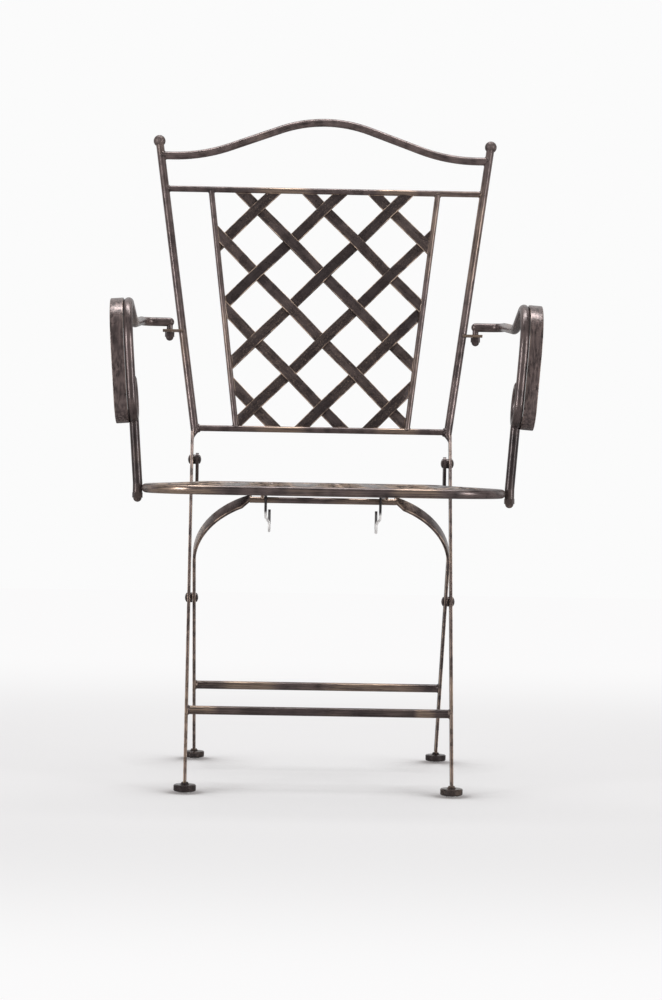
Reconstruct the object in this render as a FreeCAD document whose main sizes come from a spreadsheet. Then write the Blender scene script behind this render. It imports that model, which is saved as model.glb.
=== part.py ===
import FreeCAD
import Part
import math
import os
from FreeCAD import Placement, Rotation, Vector

# Folding garden armchair of iron tube, flat bar and woven iron strip, in millimetres.
# +Z is up, the chair faces -Y, and the origin lies on the floor under the middle of the chair.
# "left" is -X, the left hand of someone who looks at the chair from the front.

DIMENSIONS = [
    # Back frame: tubes, lean and splay. "up" sizes run along the leaning back from the lower rail.
    ("tube_dia", 12.0),
    ("rail_dia", 9.0),
    ("panel_bar_dia", 8.6),
    ("back_lean", 15.0),
    ("back_splay", 8.1),
    ("back_base_y", 157.0),
    ("back_base_z", 498.0),
    ("back_half_base", 187.0),
    ("upright_tail", 2.0),
    ("upper_rail_up", 373.0),
    ("arch_end_up", 426.0),
    ("finial_up", 449.0),
    ("finial_dia", 18.0),
    ("arch_rise", 57.5),
    ("arch_crest_radius", 190.0),
    ("arch_foot_radius", 240.0),
    ("arch_flank", 21.0),
    ("panel_half_base", 126.0),
    ("panel_half_top", 171.0),
    # Woven strips of the back and of the seat.
    ("strip_width", 16.5),
    ("strip_thick", 3.0),
    ("weave_gap", 0.1),
    ("weave_flat", 1.0),
    ("back_pitch", 100.0),
    ("back_strip_angle", 44.0),
    ("back_weave_up", 278.5),
    ("back_weave_offset", 36.0),
    ("seat_pitch", 96.0),
    ("seat_strip_angle", 45.0),
    ("seat_strip_rise", 3.0),
    # Crossed legs of flat bar.
    ("leg_width", 18.0),
    ("leg_thick", 4.2),
    ("leg_slope", 34.0),
    ("leg_toe_in", 1.0),
    ("rear_slope", 45.5),
    ("rear_splay", 0.7),
    ("leg_gap", 3.4),
    ("pivot_z", 257.0),
    ("stretcher_dia", 12.0),
    ("front_stretcher_z", 107.0),
    ("rear_stretcher_z", 121.0),
    ("crossbar_dia", 8.4),
    ("crossbar_half", 98.0),
    ("crossbar_lap", 2.0),
    ("arch_bend", 64.0),
    ("arch_tip_run", 6.0),
    ("arch_tip_cut", 14.0),
    # Feet.
    ("pad_dia", 30.6),
    ("pad_height", 9.0),
    ("pad_edge", 1.2),
    ("neck_dia", 13.0),
    ("neck_top_dia", 8.0),
    ("neck_height", 3.5),
    ("glide_dia", 17.0),
    ("glide_height", 2.5),
    # Seat rim, runners and hooks.
    ("rim_dia", 12.5),
    ("rim_z", 414.5),
    ("seat_front_y", -288.0),
    ("seat_rear_y", 137.0),
    ("seat_half_front", 245.5),
    ("rim_lug_lap", 3.0),
    ("seat_taper", 15.0),
    ("front_corner_radius", 90.0),
    ("waist_radius", 120.0),
    ("rear_corner_radius", 35.0),
    ("runner_x", 82.0),
    ("runner_thick", 4.0),
    ("runner_height", 10.0),
    ("rest_gap", 0.35),
    ("hook_dia", 3.6),
    ("hook_front_gap", 1.2),
    ("hook_drop", 42.0),
    ("hook_tip_drop", 13.0),
    ("hook_turn", 6.5),
    ("hook_kink", 38.0),
    ("hook_kink_run", 4.0),
    ("hook_tail", 3.0),
    ("hook_weld", 7.0),
    # Hinges.
    ("hinge_z", 452.0),
    ("lug_thick", 4.4),
    ("lug_width", 19.0),
    ("lug_foot_drop", 2.0),
    ("bolt_dia", 6.0),
    ("bolt_head_dia", 13.0),
    ("bolt_head_height", 3.2),
    ("bolt_edge", 1.0),
    ("washer_dia", 14.0),
    ("running_fit", 0.06),
    ("side_play", 0.35),
    # Arms.
    ("rod_dia", 13.0),
    ("arm_lean", 4.2),
    ("arm_pin_reach", 13.6),
    ("arm_pivot_z", 655.0),
    ("arm_crest_z", 666.0),
    ("arm_side_bend", 20.0),
    ("arm_rear_step", 1.0),
    ("arm_sweep_radius", 200.0),
    ("arm_dip_angle", 3.5),
    ("arm_rise_angle", 14.0),
    ("arm_crest_radius", 66.0),
    ("loop_radius", 26.0),
    ("loop_z", 534.5),
    ("curl_angle", 270.0),
    ("band_width", 17.5),
    ("band_thick", 5.0),
    ("band_back_angle", 60.0),
    ("band_curl_angle", 150.0),
    ("arm_lug_z", 640.2),
    ("arm_lug_thick", 4.0),
    ("arm_lug_front", 8.0),
    ("arm_lug_rear", 7.5),
    ("arm_lug_reach", 10.0),
    ("pin_dia", 9.0),
    ("slot_play", 0.5),
    ("stud_dia", 8.0),
    ("sleeve_dia", 13.0),
    ("sleeve_height", 13.0),
    ("sleeve_seat", 1.0),
    ("nut_dia", 14.0),
    ("nut_height", 7.0),
    ("nut_dome_dia", 11.5),
]

os.makedirs("parts", exist_ok=True)
doc = FreeCAD.newDocument("garden_armchair")
sheet = doc.addObject("Spreadsheet::Sheet", "Dims")
for row, (alias, value) in enumerate(DIMENSIONS, start=1):
    sheet.set(f"A{row}", alias)
    sheet.set(f"B{row}", str(value))
    sheet.setAlias(f"B{row}", alias)
doc.recompute()

SIDES = {"left": -1, "right": 1}
UP = Vector(0, 0, 1)
ACROSS = Vector(1, 0, 0)
FORWARD = Vector(0, -1, 0)
BACK = Vector(0, 1, 0)
nodes = []


def size(alias):
    return float(sheet.get(alias))


def sine(alias):
    return math.sin(math.radians(size(alias)))


def cosine(alias):
    return math.cos(math.radians(size(alias)))


def tangent(alias):
    return math.tan(math.radians(size(alias)))


def node(item, label):
    """Mark an object of the document as a finished piece of the chair."""
    item.Label = label
    nodes.append(item)
    return item


# Stock and joinery


def round_bar(name, start, end, diameter):
    """Straight round bar or tube between two points."""
    bar = doc.addObject("Part::Cylinder", name)
    bar.setExpression("Radius", f"Dims.{diameter} / 2")
    bar.Height = (end - start).Length
    bar.Placement = Placement(start, Rotation(UP, end - start))
    return bar


def ball(name, centre, diameter):
    sphere = doc.addObject("Part::Sphere", name)
    sphere.setExpression("Radius", f"Dims.{diameter} / 2")
    sphere.Placement.Base = centre
    return sphere


def cutting_cube(name, edge, place):
    """Cube that stands on the middle of its lower face, used to cut pieces off level."""
    cube = doc.addObject("Part::Box", name)
    cube.Length = edge
    cube.Width = edge
    cube.Height = edge
    cube.Placement = place.multiply(Placement(Vector(-edge / 2, -edge / 2, 0), Rotation()))
    return cube


def fused(name, pieces):
    joined = doc.addObject("Part::MultiFuse", name)
    joined.Shapes = pieces
    joined.Refine = True
    return joined


def coped(name, stock, tools):
    """Stock cut back to the pieces that it meets, so that they touch face to face."""
    result = stock
    for number, tool in enumerate(tools, start=1):
        cut = doc.addObject("Part::Cut", f"{name}_cope_{number}")
        cut.Base = result
        cut.Tool = tool
        result = cut
    return result


def kept(name, stock, region):
    """The part of the stock that lies inside a region."""
    common = doc.addObject("Part::Common", name)
    common.Base = stock
    common.Tool = region
    return common


class Route:
    """Centre line of a bent bar: straight runs and tangent arcs, from a start and a heading."""

    def __init__(self, start, heading):
        self.start = start
        self.first = Vector(heading).normalize()
        self.point = Vector(start)
        self.heading = Vector(heading).normalize()
        self.edges = []

    def run(self, length):
        end = self.point + self.heading * length
        self.edges.append(Part.LineSegment(self.point, end).toShape())
        self.point = end
        return self

    def bend(self, radius, angle, towards):
        turn = Vector(towards).normalize()

        def on_arc(degrees):
            a = math.radians(degrees)
            return self.point + self.heading * (radius * math.sin(a)) + turn * (radius * (1 - math.cos(a)))

        middle = on_arc(angle / 2)
        end = on_arc(angle)
        self.edges.append(Part.Arc(self.point, middle, end).toShape())
        a = math.radians(angle)
        self.heading = (self.heading * math.cos(a) + turn * math.sin(a)).normalize()
        self.point = end
        return self

    def wire(self):
        return Part.Wire(self.edges)


def bent_bar(name, route, diameter):
    """Round bar that follows a route."""
    spine = doc.addObject("Part::Feature", f"{name}_route")
    spine.Shape = route.wire()
    section = doc.addObject("Part::Circle", f"{name}_section")
    section.setExpression("Radius", f"Dims.{diameter} / 2")
    section.Placement = Placement(route.start, Rotation(UP, route.first))
    sweep = doc.addObject("Part::Sweep", name)
    sweep.Sections = [section]
    sweep.Spine = (spine, [f"Edge{n}" for n in range(1, len(route.edges) + 1)])
    sweep.Solid = True
    sweep.Frenet = False
    return sweep


def ribbon(start, heading, thickness, steps):
    """Outline of a flat bar bent in its plane: steps are ("run", length) or ("bend", radius, angle),
    with a positive angle to the left. Gives the edges of the closed outline in order."""
    left, right = [], []
    point = Vector(start)
    along = Vector(heading).normalize()
    half = thickness / 2
    for step in steps:
        side = Vector(-along.y, along.x, 0)
        if step[0] == "run":
            end = point + along * step[1]
            left.append(("line", point + side * half, end + side * half))
            right.append(("line", point - side * half, end - side * half))
            point = end
            continue
        radius, angle = step[1], step[2]
        sign = 1 if angle > 0 else -1
        centre = point + side * (radius * sign)
        spokes = []
        for share in (0, 0.5, 1):
            turn = Rotation(UP, angle * share)
            spokes.append(turn.multVec((point - centre).normalize()))
        left.append(("arc", *[centre + spoke * (radius - sign * half) for spoke in spokes]))
        right.append(("arc", *[centre + spoke * (radius + sign * half) for spoke in spokes]))
        point = centre + spokes[2] * radius
        along = Rotation(UP, angle).multVec(along)
    outline = list(left)
    outline.append(("line", left[-1][-1], right[-1][-1]))
    for piece in reversed(right):
        outline.append((piece[0], *reversed(piece[1:])))
    outline.append(("line", right[0][1], left[0][1]))
    return outline


def curve(piece):
    return Part.LineSegment(*piece[1:]) if piece[0] == "line" else Part.Arc(*piece[1:])


def polygon(points):
    corners = [Vector(x, y, 0) for x, y in points]
    return [("line", corners[i - 1], corners[i]) for i in range(len(corners))]


def sketch_in(body, name, role, outlines):
    """Sketch with closed outlines on one of the body's own planes."""
    sketch = body.newObject("Sketcher::SketchObject", name)
    plane = [item for item in body.Origin.OriginFeatures if item.Role == role][0]
    sketch.AttachmentSupport = [(plane, "")]
    sketch.MapMode = "FlatFace"
    for outline in outlines:
        sketch.addGeometry([curve(piece) for piece in outline], False)
    return sketch


def padded(name, role, outlines, length):
    """Plate or bar with a drawn outline, as thick as the named size."""
    body = doc.addObject("PartDesign::Body", name)
    sketch = sketch_in(body, f"{name}_outline", role, outlines)
    pad = body.newObject("PartDesign::Pad", f"{name}_pad")
    pad.Profile = sketch
    pad.setExpression("Length", f"Dims.{length}")
    body.Tip = pad
    return body


def turned(name, profile, placement):
    """Round piece turned about its own Z axis from a closed profile in radius and height."""
    body = doc.addObject("PartDesign::Body", name)
    sketch = sketch_in(body, f"{name}_profile", "XZ_Plane", [profile])
    spin = body.newObject("PartDesign::Revolution", f"{name}_turn")
    spin.Profile = sketch
    spin.ReferenceAxis = (sketch, ["V_Axis"])
    spin.Angle = 360
    body.Tip = spin
    body.Placement = placement
    return body


# Places that several pieces share

TUBE = size("tube_dia") / 2
RIM = size("rim_dia") / 2
ROD = size("rod_dia") / 2
LEG = size("leg_thick")
BACK_UP = Vector(0, sine("back_lean"), cosine("back_lean"))
BACK_FRONT = Vector(0, -cosine("back_lean"), sine("back_lean"))
BACK_BASE = Vector(0, size("back_base_y"), size("back_base_z"))


def on_back(across, up, out=0.0):
    """Point on the leaning back: across the chair, up along the back, out to the front."""
    return BACK_BASE + ACROSS * across + BACK_UP * up + BACK_FRONT * out


def upright_half(up):
    return size("back_half_base") + up * tangent("back_splay")


def panel_half(up):
    spread = size("panel_half_top") - size("panel_half_base")
    return size("panel_half_base") + spread * up / size("upper_rail_up")


UPRIGHT_FOOT = -(size("rail_dia") / 2 + size("upright_tail"))
LEG_TOP = on_back(upright_half(UPRIGHT_FOOT) + TUBE - LEG / 2, UPRIGHT_FOOT)


def front_leg_at(height):
    """Centre of the right front leg's flat bar at a height."""
    drop = LEG_TOP.z - height
    toe = drop * tangent("leg_toe_in")
    return Vector(LEG_TOP.x - toe, LEG_TOP.y - drop * tangent("leg_slope"), height)


PIVOT = front_leg_at(size("pivot_z"))
HINGE = front_leg_at(size("hinge_z"))
REAR_X = PIVOT.x - LEG - size("leg_gap")
LUG_X = HINGE.x - LEG / 2 - size("leg_gap") - size("side_play") - size("lug_thick")


def rear_leg_at(height):
    """Centre line of the rear leg frame at a height, in the middle plane of the chair."""
    return Vector(0, PIVOT.y - (height - PIVOT.z) * tangent("rear_slope"), height)


def rear_half(height):
    """Half the distance between the rear legs' centres at a height; the legs splay downwards."""
    return REAR_X + (PIVOT.z - height) / cosine("rear_slope") * tangent("rear_splay")


STRIP_LIFT = (size("strip_thick") + size("weave_gap")) / 2
STRIP_Z = size("rim_z") + size("seat_strip_rise")
RUNNER_TOP = STRIP_Z - STRIP_LIFT - size("strip_thick") / 2
RUNNER_BOTTOM = RUNNER_TOP - size("runner_height")
CROSSBAR_Z = RUNNER_BOTTOM - size("rest_gap") - size("crossbar_dia") / 2
CROSSBAR = rear_leg_at(CROSSBAR_Z)
PIVOT_UP = (size("arm_lug_z") - BACK_BASE.z) / BACK_UP.z
ARM_PIVOT_X = upright_half(PIVOT_UP) + TUBE + size("arm_pin_reach")
ARM_PIVOT_Y = on_back(0, PIVOT_UP).y
SUPPORT_X = size("seat_half_front") + size("sleeve_dia") / 2 - size("sleeve_seat")
FOOT_TOP = size("glide_height") + size("pad_height") + size("neck_height")
SEAT_DEPTH = size("seat_rear_y") - size("seat_front_y")
DRILL_REACH = LEG + size("leg_gap") + size("lug_thick")
WEAVE_ROOM = 2 * size("strip_width")
BACK_STRIPS = range(-3, 3)
SEAT_STRIPS = range(-2, 4)

# Back uprights: straight tubes that lean back and splay, cut square at the leg's top

uprights = {}
for name, sign in SIDES.items():
    foot = on_back(sign * upright_half(UPRIGHT_FOOT), UPRIGHT_FOOT)
    top = on_back(sign * upright_half(size("finial_up")), size("finial_up"))
    uprights[name] = node(round_bar(f"back_upright_{name}", foot, top, "tube_dia"), f"back_upright_{name}")

# Ball finials, seated on the tube ends

for name, sign in SIDES.items():
    centre = on_back(sign * upright_half(size("finial_up")), size("finial_up"))
    stock = ball(f"finial_stock_{name}", centre, "finial_dia")
    node(coped(f"finial_{name}", stock, [uprights[name]]), f"finial_{name}")

# Top arch: flat ends, two straight flanks and a round crest, coped to the uprights

flank = size("arch_flank")
round_rise = (size("arch_crest_radius") + size("arch_foot_radius")) * (1 - cosine("arch_flank"))
flank_run = (size("arch_rise") - round_rise) / sine("arch_flank")
rounds_half = (size("arch_crest_radius") + size("arch_foot_radius")) * sine("arch_flank")
flat_run = upright_half(size("arch_end_up")) - rounds_half - flank_run * cosine("arch_flank")
arch = Route(on_back(-upright_half(size("arch_end_up")), size("arch_end_up")), ACROSS)
arch.run(flat_run).bend(size("arch_foot_radius"), flank, BACK_UP)
arch.run(flank_run)
arch.bend(size("arch_crest_radius"), 2 * flank, arch.heading.cross(BACK_FRONT))
arch.run(flank_run)
arch.bend(size("arch_foot_radius"), flank, BACK_FRONT.cross(arch.heading)).run(flat_run)
arch_stock = bent_bar("top_arch_stock", arch, "tube_dia")
node(coped("top_arch", arch_stock, uprights.values()), "top_arch")

# Back rails between the uprights


def back_rail(name, up):
    reach = upright_half(up)
    stock = round_bar(f"{name}_stock", on_back(-reach, up), on_back(reach, up), "rail_dia")
    return node(coped(name, stock, uprights.values()), name)


lower_rail = back_rail("lower_back_rail", 0)
upper_rail = back_rail("upper_back_rail", size("upper_rail_up"))

# Panel bars between the rails, closer together at the bottom

panel_bars = []
for name, sign in SIDES.items():
    bottom = on_back(sign * panel_half(0), 0)
    top = on_back(sign * panel_half(size("upper_rail_up")), size("upper_rail_up"))
    stock = round_bar(f"panel_bar_stock_{name}", bottom, top, "panel_bar_dia")
    bar = coped(f"panel_bar_{name}", stock, [lower_rail, upper_rail])
    panel_bars.append(node(bar, f"panel_bar_{name}"))

# Woven strips. Each strip is a flat bar that steps over one crossing strip and under the next.


def crossing(first, first_way, second, second_way):
    """Distance along the first line to the second one, both given by a point and a direction."""
    gap = second - first
    return gap.cross(second_way).z / first_way.cross(second_way).z


def woven_strip(name, start, way, knots, frame, reach):
    """Flat strip through its knots, which are (distance along, level) pairs: level 1 is over."""
    flat = size("strip_width") / 2 + size("weave_flat")
    line = [(-reach, -knots[0][1] * STRIP_LIFT)]
    for distance, level in knots:
        line.append((distance - flat, level * STRIP_LIFT))
        line.append((distance + flat, level * STRIP_LIFT))
    line.append((reach, -knots[-1][1] * STRIP_LIFT))
    half = size("strip_thick") / 2
    top = [start + way * s + UP * (h + half) for s, h in line]
    under = [start + way * s + UP * (h - half) for s, h in reversed(line)]
    outline = doc.addObject("Part::Polygon", f"{name}_side")
    outline.Nodes = [frame.multVec(corner) for corner in top + under]
    outline.Close = True
    strip = doc.addObject("Part::Extrusion", name)
    strip.Base = outline
    strip.DirMode = "Custom"
    strip.Dir = frame.Rotation.multVec(UP.cross(way))
    strip.setExpression("LengthFwd", "Dims.strip_width")
    strip.Symmetric = True
    strip.Solid = True
    return strip


def weave(name, frame, origin, count, pitch, offset, angle, span, window, borders):
    """Two sets of counted, woven strips in a plane, trimmed to a window and coped to its borders."""
    slant = math.radians(angle)
    reach = span / math.cos(slant)
    signs = {"rising": 1, "falling": -1}
    ways = {way: Vector(sign * math.sin(slant), math.cos(slant), 0) for way, sign in signs.items()}
    starts = {way: [origin + ACROSS * (signs[way] * (offset - pitch * n)) for n in count] for way in ways}
    for way, other in (("rising", "falling"), ("falling", "rising")):
        strips = []
        for i, start in zip(count, starts[way]):
            knots = []
            for j, rival in zip(count, starts[other]):
                distance = crossing(start, ways[way], rival, ways[other])
                over = 1 if (i + j) % 2 == 0 else -1
                knots.append((distance, over * signs[way]))
            knots.sort()
            label = f"{name}_{way}_strip_{len(strips) + 1}"
            strips.append(woven_strip(label, start, ways[way], knots, frame, reach))
        whole = doc.addObject("Part::Compound", f"{name}_{way}_whole")
        whole.Links = strips
        inside = kept(f"{name}_{way}_inside", whole, window)
        node(coped(f"{name}_{way}", inside, borders), f"{name}_{way}")


def prism(name, corners, direction, depth):
    """Region with a drawn outline, used to trim pieces."""
    outline = doc.addObject("Part::Feature", f"{name}_outline")
    outline.Shape = corners
    region = doc.addObject("Part::Extrusion", name)
    region.Base = outline
    region.DirMode = "Custom"
    region.Dir = direction
    region.LengthFwd = depth
    region.LengthRev = depth
    region.Solid = True
    return region


back_frame = Placement(BACK_BASE, Rotation(ACROSS, Vector(BACK_UP), Vector(BACK_FRONT), "ZXY"))
rail_up = size("upper_rail_up")
panel_corners = [on_back(-panel_half(0), 0), on_back(panel_half(0), 0)]
panel_corners += [on_back(panel_half(rail_up), rail_up), on_back(-panel_half(rail_up), rail_up)]
panel_outline = Part.makePolygon(panel_corners + panel_corners[:1])
panel_window = prism("panel_window", panel_outline, BACK_FRONT, WEAVE_ROOM)
back_borders = [lower_rail, upper_rail] + panel_bars
weave("back_lattice", back_frame, Vector(0, size("back_weave_up"), 0), BACK_STRIPS, size("back_pitch"),
      size("back_weave_offset"), size("back_strip_angle"), rail_up, panel_window, back_borders)

# Front legs: flat bars from the uprights' feet to the pads, drilled for the pivot and hinge bolts


def bolt_hole(name, centre):
    """Drill along X with the bolt's running fit."""
    drill = round_bar(name, centre - ACROSS * DRILL_REACH, centre + ACROSS * DRILL_REACH, "bolt_dia")
    drill.setExpression("Radius", "Dims.bolt_dia / 2 + Dims.running_fit")
    return drill


def below_feet(name):
    """Space below the tops of the feet, which cuts the legs off level."""
    edge = 2 * SEAT_DEPTH
    return cutting_cube(name, edge, Placement(Vector(0, 0, FOOT_TOP - edge), Rotation()))


front_legs = {}
spare = size("leg_width")
finial_up = size("finial_up")
for name, sign in SIDES.items():
    top = Vector(LEG_TOP.x * sign, LEG_TOP.y, LEG_TOP.z)
    bottom = front_leg_at(0)
    bottom.x *= sign
    along = (top - bottom).normalize()
    stock = doc.addObject("Part::Box", f"front_leg_stock_{name}")
    stock.setExpression("Length", "Dims.leg_thick")
    stock.setExpression("Width", "Dims.leg_width")
    stock.Height = (top - bottom).Length + 2 * spare
    turn = Rotation(ACROSS, Vector(), along, "ZXY")
    corner = Vector(-size("leg_thick") / 2, -size("leg_width") / 2, -spare)
    stock.Placement = Placement(bottom + turn.multVec(corner), turn)
    floor_cut = below_feet(f"leg_floor_{name}")
    upright_foot = on_back(sign * upright_half(UPRIGHT_FOOT), UPRIGHT_FOOT)
    upright_top = on_back(sign * upright_half(finial_up), finial_up)
    head = Placement(upright_foot, Rotation(UP, upright_top - upright_foot))
    top_cut = cutting_cube(f"leg_head_{name}", 4 * spare, head)
    drills = [bolt_hole(f"pivot_drill_{name}", Vector(PIVOT.x * sign, PIVOT.y, PIVOT.z))]
    drills.append(bolt_hole(f"hinge_drill_{name}", Vector(HINGE.x * sign, HINGE.y, HINGE.z)))
    leg = coped(f"front_leg_{name}", stock, [floor_cut, top_cut] + drills)
    front_legs[name] = node(leg, f"front_leg_{name}")

# Front stretcher between the front legs

stretch = front_leg_at(size("front_stretcher_z"))
far_end = Vector(-stretch.x, stretch.y, stretch.z)
stock = round_bar("front_stretcher_stock", far_end, stretch, "stretcher_dia")
node(coped("front_stretcher", stock, front_legs.values()), "front_stretcher")

# Feet: a pad with rounded edges and a small cone up to the leg, on a thin glide


def foot(name, centre):
    edge = size("pad_edge")
    low = size("glide_height")
    high = low + size("pad_height")
    half = size("pad_dia") / 2
    profile = [(0, low), (half - edge, low), (half, low + edge), (half, high - edge), (half - edge, high)]
    profile += [(size("neck_dia") / 2, high), (size("neck_top_dia") / 2, FOOT_TOP), (0, FOOT_TOP)]
    where = Placement(Vector(centre.x, centre.y, 0), Rotation())
    node(turned(f"foot_{name}", polygon(profile), where), f"foot_{name}")
    glide = doc.addObject("Part::Cylinder", f"glide_{name}")
    glide.setExpression("Radius", "Dims.glide_dia / 2")
    glide.setExpression("Height", "Dims.glide_height")
    glide.Placement.Base = Vector(centre.x, centre.y, 0)
    return glide


def group(name, pieces):
    """Several like pieces in one node."""
    gathered = doc.addObject("Part::Compound", name)
    gathered.Links = pieces
    return node(gathered, name)


front_glides = []
for name, sign in SIDES.items():
    base = front_leg_at(FOOT_TOP)
    front_glides.append(foot(f"front_{name}", Vector(base.x * sign, base.y, 0)))
group("front_glides", front_glides)

# Rear legs: flat bars in the plane of the crossed frame, bent inwards in an arch to the crossbar

rear_turn = Rotation(ACROSS, 90 + size("rear_slope"))
rear_face = rear_turn.multVec(UP)
crossbar_reach = (CROSSBAR_Z - PIVOT.z) / cosine("rear_slope")
floor_reach = (PIVOT.z - FOOT_TOP) / cosine("rear_slope") + spare
tip_run = size("arch_tip_run")
across_left = REAR_X - size("crossbar_half") - tip_run * sine("arch_bend")
up_left = crossbar_reach - tip_run * cosine("arch_bend")
bend_across = cosine("rear_splay") - cosine("arch_bend")
bend_up = sine("arch_bend") - sine("rear_splay")
share = cosine("rear_splay") * bend_across - sine("rear_splay") * bend_up
straight = (up_left * bend_across - across_left * bend_up) / share
bend_radius = (across_left * cosine("rear_splay") - up_left * sine("rear_splay")) / share
rear_up = rear_turn.multVec(BACK)
rear_legs = {}
for name, sign in SIDES.items():
    steps = [("run", floor_reach / cosine("rear_splay") + straight)]
    steps.append(("bend", bend_radius, sign * (size("arch_bend") - size("rear_splay"))))
    steps.append(("run", tip_run))
    start = Vector(sign * (REAR_X + floor_reach * tangent("rear_splay")), -floor_reach, 0)
    heading = Vector(-sign * sine("rear_splay"), cosine("rear_splay"), 0)
    outline = ribbon(start, heading, LEG, steps)
    body = padded(f"rear_leg_stock_{name}", "XY_Plane", [outline], "leg_width")
    centre = Vector(0, PIVOT.y, PIVOT.z)
    body.Placement = Placement(centre - rear_face * (size("leg_width") / 2), rear_turn)
    floor_cut = below_feet(f"rear_floor_{name}")
    drill = bolt_hole(f"rear_drill_{name}", Vector(REAR_X * sign, PIVOT.y, PIVOT.z))
    tip = Vector(sign * size("crossbar_half"), CROSSBAR.y, CROSSBAR_Z)
    tip_way = rear_up * cosine("arch_bend") - ACROSS * (sign * sine("arch_bend"))
    cut_face = tip_way * (size("leg_width") / 2) + rear_face * size("arch_tip_cut")
    tip_cut = cutting_cube(f"rear_tip_{name}", 4 * spare, Placement(tip, Rotation(UP, cut_face)))
    leg = coped(f"rear_leg_{name}", body, [floor_cut, drill, tip_cut])
    rear_legs[name] = node(leg, f"rear_leg_{name}")

# Crossbar between the arches and stretcher between the rear legs

bar_reach = size("crossbar_half") + size("crossbar_lap")
ends = [Vector(-bar_reach, CROSSBAR.y, CROSSBAR_Z), Vector(bar_reach, CROSSBAR.y, CROSSBAR_Z)]
stock = round_bar("crossbar_stock", ends[0], ends[1], "crossbar_dia")
node(coped("crossbar", stock, rear_legs.values()), "crossbar")
stretch = rear_leg_at(size("rear_stretcher_z"))
reach = rear_half(stretch.z)
ends = [Vector(-reach, stretch.y, stretch.z), Vector(reach, stretch.y, stretch.z)]
stock = round_bar("rear_stretcher_stock", ends[0], ends[1], "stretcher_dia")
node(coped("rear_stretcher", stock, rear_legs.values()), "rear_stretcher")

rear_glides = []
for name, sign in SIDES.items():
    base = Vector(rear_half(FOOT_TOP) * sign, rear_leg_at(FOOT_TOP).y, 0)
    rear_glides.append(foot(f"rear_{name}", base))
group("rear_glides", rear_glides)

# Seat rim: one closed tube, wide at the front, drawn in to pass between the legs

front_y = size("seat_front_y") + RIM
rear_y = size("seat_rear_y") - RIM
half_front = size("seat_half_front") - RIM
half_rear = LUG_X + size("rim_lug_lap") - RIM
corner = size("front_corner_radius")
waist = size("waist_radius")
rear_corner = size("rear_corner_radius")
taper = size("seat_taper")
taper_drop = (corner + waist) * (1 - cosine("seat_taper"))
taper_run = (half_front - half_rear - taper_drop) / sine("seat_taper")
waist_y = front_y + corner + (corner + waist) * sine("seat_taper") + taper_run * cosine("seat_taper")
rim = Route(Vector(0, front_y, size("rim_z")), ACROSS)
rim.run(half_front - corner)


def rim_turn(radius, angle, hand):
    rim.bend(radius, angle, UP.cross(rim.heading) * hand)


rim_turn(corner, 90 + taper, 1)
rim.run(taper_run)
rim_turn(waist, taper, -1)
rim.run(rear_y - rear_corner - waist_y)
rim_turn(rear_corner, 90, 1)
rim.run(2 * (half_rear - rear_corner))
rim_turn(rear_corner, 90, 1)
rim.run(rear_y - rear_corner - waist_y)
rim_turn(waist, taper, -1)
rim.run(taper_run)
rim_turn(corner, 90 + taper, 1)
rim.run(half_front - corner)
seat_rim = node(bent_bar("seat_rim", rim, "rim_dia"), "seat_rim")

# Seat lattice, let in just under the top of the rim

seat_frame = Placement(Vector(0, 0, STRIP_Z), Rotation())
seat_window = prism("seat_window", rim.wire(), UP, WEAVE_ROOM)
seat_middle = Vector(0, (front_y + rear_y) / 2, 0)
weave("seat_lattice", seat_frame, seat_middle, SEAT_STRIPS, size("seat_pitch"), size("seat_pitch") / 2,
      size("seat_strip_angle"), SEAT_DEPTH, seat_window, [seat_rim])

# Seat runners: flat bars on edge under the lattice, which lie on the crossbar

for name, sign in SIDES.items():
    stock = doc.addObject("Part::Box", f"runner_stock_{name}")
    stock.setExpression("Length", "Dims.runner_thick")
    stock.Width = rear_y - front_y
    stock.setExpression("Height", "Dims.runner_height")
    runner_side = sign * size("runner_x") - size("runner_thick") / 2
    stock.Placement.Base = Vector(runner_side, front_y, RUNNER_BOTTOM)
    node(coped(f"seat_runner_{name}", stock, [seat_rim]), f"seat_runner_{name}")

# Hinge lugs: upright plates with a round head, welded to the rim's sides

for name, sign in SIDES.items():
    half = size("lug_width") / 2
    foot_z = size("rim_z") - size("lug_foot_drop")
    head = [("line", Vector(-half, foot_z, 0), Vector(half, foot_z, 0))]
    head.append(("line", Vector(half, foot_z, 0), Vector(half, HINGE.z, 0)))
    head.append(("arc", Vector(half, HINGE.z, 0), Vector(0, HINGE.z + half, 0), Vector(-half, HINGE.z, 0)))
    head.append(("line", Vector(-half, HINGE.z, 0), Vector(-half, foot_z, 0)))
    body = padded(f"hinge_lug_stock_{name}", "YZ_Plane", [head], "lug_thick")
    inner = LUG_X if sign > 0 else -LUG_X - size("lug_thick")
    body.Placement.Base = Vector(inner, HINGE.y, 0)
    drill = bolt_hole(f"lug_drill_{name}", Vector(sign * LUG_X, HINGE.y, HINGE.z))
    node(coped(f"hinge_lug_{name}", body, [seat_rim, drill]), f"hinge_lug_{name}")

# Bolts through the legs, each with a domed head at both ends, and the rings that keep pieces apart


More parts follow.
